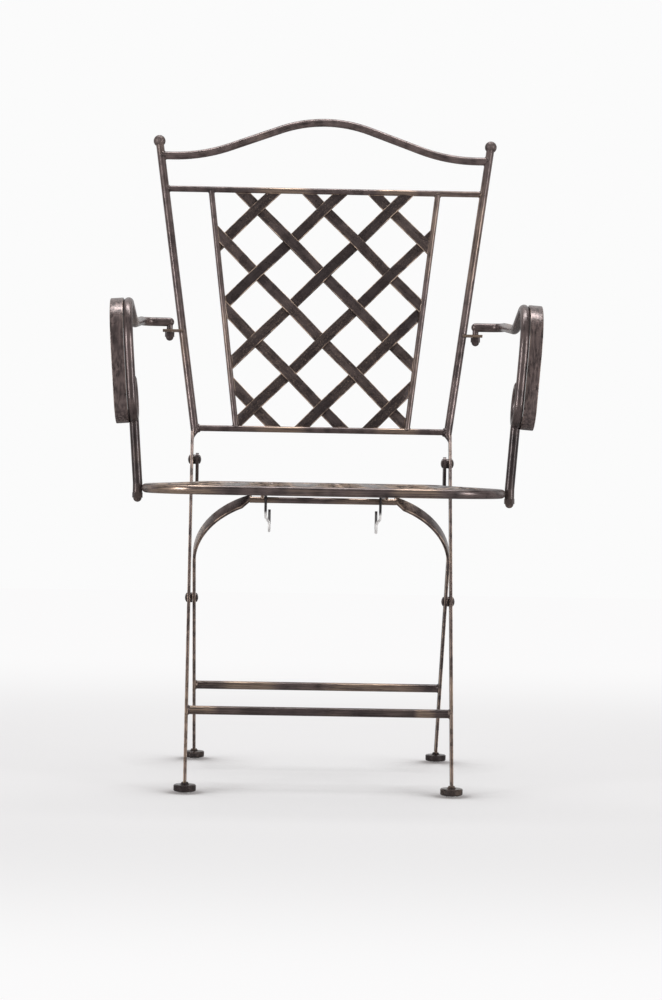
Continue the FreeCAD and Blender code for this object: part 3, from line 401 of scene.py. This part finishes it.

# Hooks: two pieces of bent iron wire, welded under the runners, that keep the crossbar in place.
# Their lower front is painted pale as a highlight; the back and top keep the dark paint.

HIGHLIGHT_TOP = 0.386
HIGHLIGHT_FADE = 0.006
HIGHLIGHT_GREY = (0.66, 0.64, 0.63)
HIGHLIGHT_PALE = (0.88, 0.86, 0.85)
HIGHLIGHT_BLOOM_PER_M = 260.0
HIGHLIGHT_DETAIL = 4.0
WIRE_METAL = (0.2, 0.4)
WIRE_ROUGH = (0.34, 0.5)


def wire_painted_highlight():
    """Dark paint on wire, with a painted highlight below a height on the side towards the front."""
    finish, tree, shader = new_finish("wire_painted_highlight")
    place = add_node(tree, "ShaderNodeTexCoord")
    split = add_node(tree, "ShaderNodeSeparateXYZ", Vector=place.outputs["Object"])
    front, back = (corner[1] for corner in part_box("hook_left"))
    middle = (front + back) / 2
    # Painted highlight: below a height and in front of the wire's middle the colour turns pale.
    low = ramp(tree, split.outputs["Z"], (HIGHLIGHT_TOP - HIGHLIGHT_FADE, HIGHLIGHT_TOP), (1, 0))
    forward = ramp(tree, split.outputs["Y"], (middle, middle + HIGHLIGHT_FADE), (1, 0))
    highlighted = reckon(tree, "MULTIPLY", low, forward)
    bloom = noise(tree, place.outputs["Object"], HIGHLIGHT_BLOOM_PER_M, HIGHLIGHT_DETAIL)
    metal = blended(tree, bloom, HIGHLIGHT_GREY, HIGHLIGHT_PALE)
    tree.links.new(blended(tree, highlighted, PAINT_DARK, metal), shader.inputs["Base Color"])
    tree.links.new(ramp(tree, highlighted, WHOLE, WIRE_METAL), shader.inputs["Metallic"])
    tree.links.new(ramp(tree, bloom, GLOSS_STEP, WIRE_ROUGH), shader.inputs["Roughness"])
    return finish


dress(wire_painted_highlight(), "hook_left", "hook_right")

# Hinges and fasteners: bolts, washers, spacers and cap nuts, with the lugs and sleeves that they hold.
# All are of iron and painted over with the chair; the arms' pins rub the arm lugs bright.

LUG_RUBS = (("Z", 0.64, 0.03),)
fastener_finish = brushed_bronze("fastener_bronze", ACROSS, gold=0.6, brown=0.7)
lug_finish = brushed_bronze("lug_bronze", ACROSS, brown=1.4, flat=True, rubs=LUG_RUBS)
dress(fastener_finish, "leg_washers", "hinge_spacers", "rear_cap_nuts", "front_cap_nuts")
for side in ("left", "right"):
    dress(fastener_finish, f"leg_pivot_bolt_{side}", f"seat_hinge_bolt_{side}", f"hinge_lug_{side}",
          f"arm_sleeve_{side}")
    dress(lug_finish, f"arm_lug_{side}")

# Arms: a round iron rod that dips, crests and curls down to a post, with a flat scroll band beside it.
# Both are bent from straight bar. The post in its sleeve has kept most of its dark paint.

ARM_GRAIN = (0, 0.7, 0.7)
BAND_GRAIN = (0, 0.3, 0.95)
POST_DARKS = (("Z", 0.45, 0.09),)
arm_finish = brushed_bronze("arm_bronze", ARM_GRAIN, gold=0.4, brown=1.2, darks=POST_DARKS)
band_finish = brushed_bronze("band_bronze", BAND_GRAIN, gold=0.25, brown=1.4, flat=True, worn=0.25,
                             streaked=0.75, mottled=0.35)
for side in ("left", "right"):
    dress(arm_finish, f"arm_rod_{side}")
    eased(f"arm_band_{side}", "seat", band_finish, LEG_EASE)

# Welds: a hollow collar where a stretcher stands on a flat leg, a low uneven bead along the line
# where two round bars meet, and a hollow fillet under each upright's foot.
# Laid with the iron's own metal and painted with it.

COLLAR_SIZE = 0.5
COLLAR_SINK = 0.15
COLLAR_SIDES = 28
COLLAR_CURVE = 6
BEAD_RADIUS = 0.0012
BEAD_STEP = 0.0012
BEAD_SIDES = 8
BEAD_UNEVEN = 0.0005
BEAD_LUMPS = 420.0
LUMP_MIDDLE = 0.5
PLAIN_BEAD = 1.0
HEAVY_BEAD = 1.8
SEAM_STEPS = 28
TUBE = 0.006
RAIL = 0.0045
PANEL_BAR = 0.0043
LEG_THICK = 0.0042
BACK_FOOT = Vector((0, 0.157, 0.498))
BACK_SPLAY = math.tan(math.radians(8.1))
BACK_HALF = 0.187
RAIL_UP = 0.373
ARCH_UP = 0.426
PANEL_HALF_LOW = 0.126
PANEL_HALF_HIGH = 0.171
UPRIGHT_TAIL = -0.0065
FILLET_DROP = 0.014
FILLET_OUT = 0.0072
FILLET_DEEP = 0.0056
FILLET_TIP = 0.0035
FILLET_SINK = 0.0005
FILLET_HOLLOW = 1.8
FILLET_RINGS = 8
FILLET_POINTS = 10


def unit_collar():
    """Collar for a bar of radius 1 that stands on the plane z = 0, turned about the bar's axis."""
    profile = [(1 - COLLAR_SINK, COLLAR_SIZE), (1 - COLLAR_SINK, -COLLAR_SINK),
               (1 + COLLAR_SIZE, -COLLAR_SINK)]
    for step in range(COLLAR_CURVE + 1):
        turn = math.radians(90) * step / COLLAR_CURVE
        reach = COLLAR_SIZE * (1 - math.sin(turn))
        rise = COLLAR_SIZE * (1 - math.cos(turn))
        profile.append((1 + reach, rise))
    shell = bmesh.new()
    rings = []
    for step in range(COLLAR_SIDES):
        turn = 2 * math.pi * step / COLLAR_SIDES
        rings.append([shell.verts.new((r * math.cos(turn), r * math.sin(turn), z)) for r, z in profile])
    for ring, following in zip(rings, rings[1:] + rings[:1]):
        for k in range(len(profile)):
            n = (k + 1) % len(profile)
            shell.faces.new((ring[k], following[k], following[n], ring[n]))
    bmesh.ops.recalc_face_normals(shell, faces=shell.faces)
    mesh = bpy.data.meshes.new("unit_collar")
    shell.to_mesh(mesh)
    shell.free()
    mesh.shade_smooth()
    collar = bpy.data.objects.new("unit_collar", mesh)
    bpy.context.scene.collection.objects.link(collar)
    return collar


def weld_tree(collar, finish):
    """Node tree: collars on the marked points and beads along the edges."""
    tree = bpy.data.node_groups.new("welds", "GeometryNodeTree")
    tree.interface.new_socket("Joints", in_out="INPUT", socket_type="NodeSocketGeometry")
    for name in ("Bead radius", "Bead step", "Unevenness", "Lumps per metre"):
        tree.interface.new_socket(name, in_out="INPUT", socket_type="NodeSocketFloat")
    tree.interface.new_socket("Welds", in_out="OUTPUT", socket_type="NodeSocketGeometry")
    given = tree.nodes.new("NodeGroupInput")
    made = tree.nodes.new("NodeGroupOutput")
    link = tree.links.new

    def attribute(name, kind):
        read = tree.nodes.new("GeometryNodeInputNamedAttribute")
        read.data_type = kind
        read.inputs["Name"].default_value = name
        return read.outputs["Attribute"]

    points = tree.nodes.new("GeometryNodeMeshToPoints")
    link(given.outputs["Joints"], points.inputs["Mesh"])
    link(attribute("collar", "BOOLEAN"), points.inputs["Selection"])
    shape = tree.nodes.new("GeometryNodeObjectInfo")
    shape.inputs["Object"].default_value = collar
    aim = tree.nodes.new("FunctionNodeAlignRotationToVector")
    aim.axis = "Z"
    link(attribute("way", "FLOAT_VECTOR"), aim.inputs["Vector"])
    placed = tree.nodes.new("GeometryNodeInstanceOnPoints")
    link(points.outputs["Points"], placed.inputs["Points"])
    link(shape.outputs["Geometry"], placed.inputs["Instance"])
    link(aim.outputs["Rotation"], placed.inputs["Rotation"])
    link(attribute("girth", "FLOAT"), placed.inputs["Scale"])

    seams = tree.nodes.new("GeometryNodeMeshToCurve")
    link(given.outputs["Joints"], seams.inputs["Mesh"])
    spaced = tree.nodes.new("GeometryNodeResampleCurve")
    spaced.mode = "LENGTH"
    link(seams.outputs["Curve"], spaced.inputs["Curve"])
    link(given.outputs["Bead step"], spaced.inputs["Length"])
    section = tree.nodes.new("GeometryNodeCurvePrimitiveCircle")
    section.inputs["Resolution"].default_value = BEAD_SIDES
    link(given.outputs["Bead radius"], section.inputs["Radius"])
    bead = tree.nodes.new("GeometryNodeCurveToMesh")
    bead.inputs["Fill Caps"].default_value = True
    link(spaced.outputs["Curve"], bead.inputs["Curve"])
    link(section.outputs["Curve"], bead.inputs["Profile Curve"])
    link(attribute("girth", "FLOAT"), bead.inputs["Scale"])

    lumps = tree.nodes.new("ShaderNodeTexNoise")
    link(given.outputs["Lumps per metre"], lumps.inputs["Scale"])
    swell = reckon(tree, "SUBTRACT", lumps.outputs[0], LUMP_MIDDLE)
    amount = reckon(tree, "MULTIPLY", swell, given.outputs["Unevenness"])
    outward = tree.nodes.new("GeometryNodeInputNormal")
    push = tree.nodes.new("ShaderNodeVectorMath")
    push.operation = "SCALE"
    link(outward.outputs["Normal"], push.inputs[0])
    link(amount, push.inputs["Scale"])
    moved = tree.nodes.new("GeometryNodeSetPosition")
    link(bead.outputs["Mesh"], moved.inputs["Geometry"])
    link(push.outputs[0], moved.inputs["Offset"])
    smooth = tree.nodes.new("GeometryNodeSetShadeSmooth")
    link(moved.outputs["Geometry"], smooth.inputs["Geometry"])

    both = tree.nodes.new("GeometryNodeJoinGeometry")
    link(placed.outputs["Instances"], both.inputs["Geometry"])
    link(smooth.outputs["Geometry"], both.inputs["Geometry"])
    real = tree.nodes.new("GeometryNodeRealizeInstances")
    link(both.outputs["Geometry"], real.inputs["Geometry"])
    painted = tree.nodes.new("GeometryNodeSetMaterial")
    painted.inputs["Material"].default_value = finish
    link(real.outputs["Geometry"], painted.inputs["Geometry"])
    link(painted.outputs["Geometry"], made.inputs["Welds"])
    return tree


def on_back(across, up):
    """Point on the leaning back, across the chair and up along it from the lower rail."""
    return BACK_FOOT + Vector((across, 0, 0)) + BACK_WAY * up


def upright_half(up):
    """Half the distance between the uprights' axes, so far up the back."""
    return BACK_HALF + up * BACK_SPLAY


def panel_half(up):
    """Half the distance between the panel bars' axes, so far up the back."""
    return PANEL_HALF_LOW + (PANEL_HALF_HIGH - PANEL_HALF_LOW) * up / RAIL_UP


def seam(start, end, girth, post, post_way, post_girth):
    """Closed line where a round bar from start towards end meets a round post."""
    way = (end - start).normalized()
    side = way.orthogonal().normalized()
    rise = way.cross(side)
    lean = post_way.normalized()
    slide = way - lean * way.dot(lean)
    line = []
    for step in range(SEAM_STEPS):
        turn = 2 * math.pi * step / SEAM_STEPS
        edge = start + (side * math.cos(turn) + rise * math.sin(turn)) * girth
        apart = edge - post
        apart -= lean * apart.dot(lean)
        half = apart.dot(slide)
        inside = half * half - slide.length_squared * (apart.length_squared - post_girth ** 2)
        line.append(edge + way * ((-half - math.sqrt(max(inside, 0))) / slide.length_squared))
    return line


def foot_fillets(finish):
    """Weld metal that fills the corner between each upright's square foot and its leg's inner face."""
    shell = bmesh.new()
    tube_deep = Vector((0, -math.cos(BACK_LEAN), math.sin(BACK_LEAN)))
    leg_deep = Vector((0, -math.cos(LEG_SLOPE), math.sin(LEG_SLOPE)))
    turns = [math.pi * k / FILLET_POINTS for k in range(FILLET_POINTS + 1)]
    for sign in (-1, 1):
        foot = on_back(sign * upright_half(UPRIGHT_TAIL), UPRIGHT_TAIL)
        face = foot + Vector((sign * (TUBE - LEG_THICK + FILLET_SINK), 0, 0)) + BACK_WAY * FILLET_SINK
        inward = Vector((-sign, 0, 0))
        rings = []
        for step in range(FILLET_RINGS + 1):
            share = step / FILLET_RINGS
            centre = face - LEG_WAY * FILLET_DROP * share
            deep = tube_deep.lerp(leg_deep, share) * (FILLET_DEEP + (FILLET_TIP - FILLET_DEEP) * share)
            out = inward * (FILLET_SINK + FILLET_OUT * (1 - share) ** FILLET_HOLLOW)
            rings.append([shell.verts.new(centre + deep * math.cos(t) + out * math.sin(t)) for t in turns])
        for ring, below in zip(rings, rings[1:]):
            for k in range(FILLET_POINTS):
                shell.faces.new((ring[k], ring[k + 1], below[k + 1], below[k]))
            shell.faces.new((ring[-1], ring[0], below[0], below[-1]))
        shell.faces.new(rings[0])
        shell.faces.new(rings[-1])
    bmesh.ops.recalc_face_normals(shell, faces=shell.faces)
    mesh = bpy.data.meshes.new("back_frame_fillets")
    shell.to_mesh(mesh)
    shell.free()
    mesh.shade_smooth()
    mesh.set_sharp_from_angle(angle=SMOOTH_ANGLE)
    mesh.materials.append(finish)
    piece = bpy.data.objects.new("back_frame_fillets", mesh)
    bpy.context.scene.collection.objects.link(piece)
    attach(piece, "back_frame")


def bar_ends(node):
    """Both ends of a bar that lies across the chair, each with its direction inwards."""
    low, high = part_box(node)
    middle = [(a + b) / 2 for a, b in zip(low, high)]
    left = Vector((low[0], *middle[1:]))
    right = Vector((high[0], *middle[1:]))
    return [(left, Vector((1, 0, 0))), (right, Vector((-1, 0, 0)))]


def weld(body, collars, seams, tree):
    """Runs the weld tree on a body's joints and keeps the result as one plain mesh."""
    verts, edges, sizes = [], [], []
    for line, size in seams:
        first = len(verts)
        verts += line
        sizes += [size] * len(line)
        edges += [(first + k, first + (k + 1) % len(line)) for k in range(len(line))]
    loose = len(verts)
    verts += [place for place, way in collars]
    joints = bpy.data.meshes.new(f"{body}_joints")
    joints.from_pydata(verts, edges, [])
    for name, kind in (("collar", "BOOLEAN"), ("way", "FLOAT_VECTOR"), ("girth", "FLOAT")):
        joints.attributes.new(name, kind, "POINT")
    for number, size in enumerate(sizes):
        joints.attributes["girth"].data[number].value = size
    for number, (place, way) in enumerate(collars, start=loose):
        joints.attributes["collar"].data[number].value = True
        joints.attributes["way"].data[number].vector = way
        joints.attributes["girth"].data[number].value = TUBE
    holder = bpy.data.objects.new(f"{body}_joints", joints)
    bpy.context.scene.collection.objects.link(holder)
    nodes = holder.modifiers.new("welds", "NODES")
    nodes.node_group = tree
    values = {"Bead radius": BEAD_RADIUS, "Bead step": BEAD_STEP, "Unevenness": BEAD_UNEVEN,
              "Lumps per metre": BEAD_LUMPS}
    for socket in tree.interface.items_tree:
        if socket.name in values:
            nodes[socket.identifier] = values[socket.name]
    bpy.context.view_layer.update()
    graph = bpy.context.evaluated_depsgraph_get()
    mesh = bpy.data.meshes.new_from_object(holder.evaluated_get(graph))
    bpy.data.objects.remove(holder)
    mesh.name = f"{body}_welds"
    piece = bpy.data.objects.new(f"{body}_welds", mesh)
    bpy.context.scene.collection.objects.link(piece)
    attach(piece, body)


weld_finish = brushed_bronze("weld_bronze", ACROSS, gold=0.6, brown=0.7, flat=True)
collar_shape = unit_collar()
welds = weld_tree(collar_shape, weld_finish)
BACK_JOINTS = ((0, RAIL, HEAVY_BEAD), (RAIL_UP, RAIL, PLAIN_BEAD), (ARCH_UP, TUBE, PLAIN_BEAD))
back_seams = []
for sign in (-1, 1):
    post = on_back(sign * BACK_HALF, 0)
    post_way = on_back(sign * upright_half(ARCH_UP), ARCH_UP) - post
    for up, girth, size in BACK_JOINTS:
        end = on_back(sign * upright_half(up), up)
        back_seams.append((seam(on_back(0, up), end, girth, post, post_way, TUBE), size))
    low = on_back(sign * panel_half(0), 0)
    high = on_back(sign * panel_half(RAIL_UP), RAIL_UP)
    middle = (low + high) / 2
    for end in (low, high):
        back_seams.append((seam(middle, end, PANEL_BAR, end, Vector(ACROSS), RAIL), PLAIN_BEAD))
weld("back_frame", bar_ends("front_stretcher"), back_seams, welds)
foot_fillets(weld_finish)
weld("rear_legs", bar_ends("rear_stretcher"), [], welds)
bpy.data.objects.remove(collar_shape)

# Floor: a pale dull studio floor that runs back to a white wall. Its tone holds painted light and
# shade: painted shade around the chair, a painted contact shadow where the feet stand on it, and whiter
# behind, in front and at the sides. To the bars' gloss it shows a flat painted grey.

FLOOR_HALF = 9.0
FLOOR_FRONT = -6.0
FLOOR_BACK = 4.9
FLOOR_ROUGH = 0.7
# The lit floor's own colour is painted darker in front of the chair, as painted shade against the front
# lamps.
FLOOR_FRONT_SHADE_TONE = (0.68, 0.675, 0.677)
FLOOR_FAR_TONE = (0.785, 0.776, 0.779)
FLOOR_STEP = (-1.0, 0.2)
# Painted contact shadow: where ambient occlusion finds the feet, colour and glow darken to this tone.
CONTACT_SHADE_TONE = (0.36, 0.34, 0.34)
CONTACT_REACH = 0.12
CONTACT_STEP = (0.78, 0.995)
# The glow that the camera sees is painted grey shade around the chair and white away from it.
GLOW_SHADE_GREY = (0.80, 0.79, 0.793)
GLOW_WHITE = (0.965, 0.96, 0.962)
BEHIND_STEP = (0.0, 2.2)
BEFORE_STEP = (-0.5, -1.5)
ASIDE_STEP = (0.5, 2.5)
GLOW_STEP = (0.45, 1.6)
GLOW_SHARE = (0.7, 0.99)
# Painted reflection: to the bars' gloss the floor is this flat grey.
FLOOR_MIRRORED = (0.22, 0.22, 0.22, 1)


def mixed(tree, factor, first, second):
    """Shader that goes from the first to the second with the factor."""
    mix = add_node(tree, "ShaderNodeMixShader")
    for socket, value in zip(mix.inputs, (factor, first, second)):
        tree.links.new(value, socket)
    return mix.outputs[0]


def pale_floor():
    """Pale floor that takes shadows near the chair, with painted shade there, and fades to white away from
    it.
    """
    finish, tree, shader = new_finish("pale_floor")
    shader.inputs["Roughness"].default_value = FLOOR_ROUGH
    place = add_node(tree, "ShaderNodeTexCoord").outputs["Object"]
    split = add_node(tree, "ShaderNodeSeparateXYZ", Vector=place)
    reach = add_node(tree, "ShaderNodeVectorMath", operation="LENGTH")
    tree.links.new(place, reach.inputs[0])
    contact_shade = add_node(tree, "ShaderNodeAmbientOcclusion", Distance=CONTACT_REACH)
    clear = ramp(tree, contact_shade.outputs["AO"], CONTACT_STEP)
    base = blended(tree, ramp(tree, split.outputs["Y"], FLOOR_STEP), FLOOR_FRONT_SHADE_TONE, FLOOR_FAR_TONE)
    base = blended(tree, clear, CONTACT_SHADE_TONE, base)
    tree.links.new(base, shader.inputs["Base Color"])

    behind = ramp(tree, split.outputs["Y"], BEHIND_STEP)
    before = ramp(tree, split.outputs["Y"], BEFORE_STEP)
    aside = ramp(tree, reckon(tree, "ABSOLUTE", split.outputs["X"]), ASIDE_STEP)
    far = reckon(tree, "MAXIMUM", reckon(tree, "MAXIMUM", behind, before), aside)
    tone = blended(tree, clear, CONTACT_SHADE_TONE, blended(tree, far, GLOW_SHADE_GREY, GLOW_WHITE))
    glow = add_node(tree, "ShaderNodeEmission", Color=tone, Strength=1.0)
    mirrored = add_node(tree, "ShaderNodeEmission", Color=FLOOR_MIRRORED, Strength=1.0)
    ray = add_node(tree, "ShaderNodeLightPath")
    share = ramp(tree, reach.outputs["Value"], GLOW_STEP, GLOW_SHARE)
    share = reckon(tree, "MULTIPLY", ray.outputs["Is Camera Ray"], share)
    surface = mixed(tree, share, shader.outputs[0], glow.outputs[0])
    surface = mixed(tree, ray.outputs["Is Glossy Ray"], surface, mirrored.outputs[0])
    tree.links.new(surface, tree.nodes["Material Output"].inputs["Surface"])
    return finish


floor_mesh = bpy.data.meshes.new("floor")
floor_corners = [(-FLOOR_HALF, FLOOR_FRONT, 0), (FLOOR_HALF, FLOOR_FRONT, 0),
                 (FLOOR_HALF, FLOOR_BACK, 0), (-FLOOR_HALF, FLOOR_BACK, 0)]
floor_mesh.from_pydata(floor_corners, [], [(0, 1, 2, 3)])
floor_mesh.materials.append(pale_floor())
floor = bpy.data.objects.new("floor", floor_mesh)
bpy.context.scene.collection.objects.link(floor)

# Room: a white wall to look at and an even soft fill from all sides. What the gloss of the bars
# mirrors is dark on the camera's side and pale behind the chair.

ROOM_FILL = 0.45
ROOM_WHITE = (1, 1, 1, 1)
WALL_TONE = (0.965, 0.965, 0.965, 1)
MIRRORED_FRONT = (0.09, 0.09, 0.09)
MIRRORED_BACK = (0.75, 0.75, 0.75)
MIRRORED_STEP = (-0.1, 0.9)

world = bpy.data.worlds.new("studio")
world.use_nodes = True
bpy.context.scene.world = world
sky = world.node_tree
fill = sky.nodes["Background"]
fill.inputs["Color"].default_value = ROOM_WHITE
fill.inputs["Strength"].default_value = ROOM_FILL
wall = add_node(sky, "ShaderNodeBackground", Color=WALL_TONE, Strength=1.0)
facing = add_node(sky, "ShaderNodeTexCoord")
heading = add_node(sky, "ShaderNodeSeparateXYZ", Vector=facing.outputs["Generated"])
room_tone = blended(sky, ramp(sky, heading.outputs["Y"], MIRRORED_STEP), MIRRORED_FRONT, MIRRORED_BACK)
room = add_node(sky, "ShaderNodeBackground", Color=room_tone, Strength=1.0)
ray = add_node(sky, "ShaderNodeLightPath")
straight = reckon(sky, "MAXIMUM", ray.outputs["Is Camera Ray"], ray.outputs["Is Transmission Ray"])
around = mixed(sky, ray.outputs["Is Glossy Ray"], fill.outputs[0], room.outputs[0])
around = mixed(sky, straight, around, wall.outputs[0])
sky.links.new(around, sky.nodes["World Output"].inputs["Surface"])

# Lights: two tall soft boxes at the front, left and right, and a long one above and a little behind.
# They are plain white, and their reflections are the bright lines along the bars.

SIDE_LIGHT_OUT = 2.6
SIDE_LIGHT_FRONT = -2.0
SIDE_LIGHT_HIGH = 1.3
SIDE_LIGHT_AIM = Vector((0, 0, 0.5))
SIDE_LIGHT_SIZE = (0.5, 2.0)
SIDE_LIGHT_POWER = 62
TOP_LIGHT_PLACE = Vector((0, 0.5, 3.2))
TOP_LIGHT_AIM = Vector((0, 0, 0.4))
TOP_LIGHT_SIZE = (2.4, 0.6)
TOP_LIGHT_POWER = 60


def softbox(name, place, aim, size, power):
    """Soft rectangular light at a place, turned towards its aim."""
    lamp = bpy.data.lights.new(name, "AREA")
    lamp.shape = "RECTANGLE"
    lamp.size, lamp.size_y = size
    lamp.energy = power
    holder = bpy.data.objects.new(name, lamp)
    holder.location = place
    holder.rotation_euler = (aim - place).to_track_quat("-Z", "Y").to_euler()
    bpy.context.scene.collection.objects.link(holder)


for side, sign in (("left", -1), ("right", 1)):
    side_place = Vector((sign * SIDE_LIGHT_OUT, SIDE_LIGHT_FRONT, SIDE_LIGHT_HIGH))
    softbox(f"side_light_{side}", side_place, SIDE_LIGHT_AIM, SIDE_LIGHT_SIZE, SIDE_LIGHT_POWER)
softbox("top_light", TOP_LIGHT_PLACE, TOP_LIGHT_AIM, TOP_LIGHT_SIZE, TOP_LIGHT_POWER)
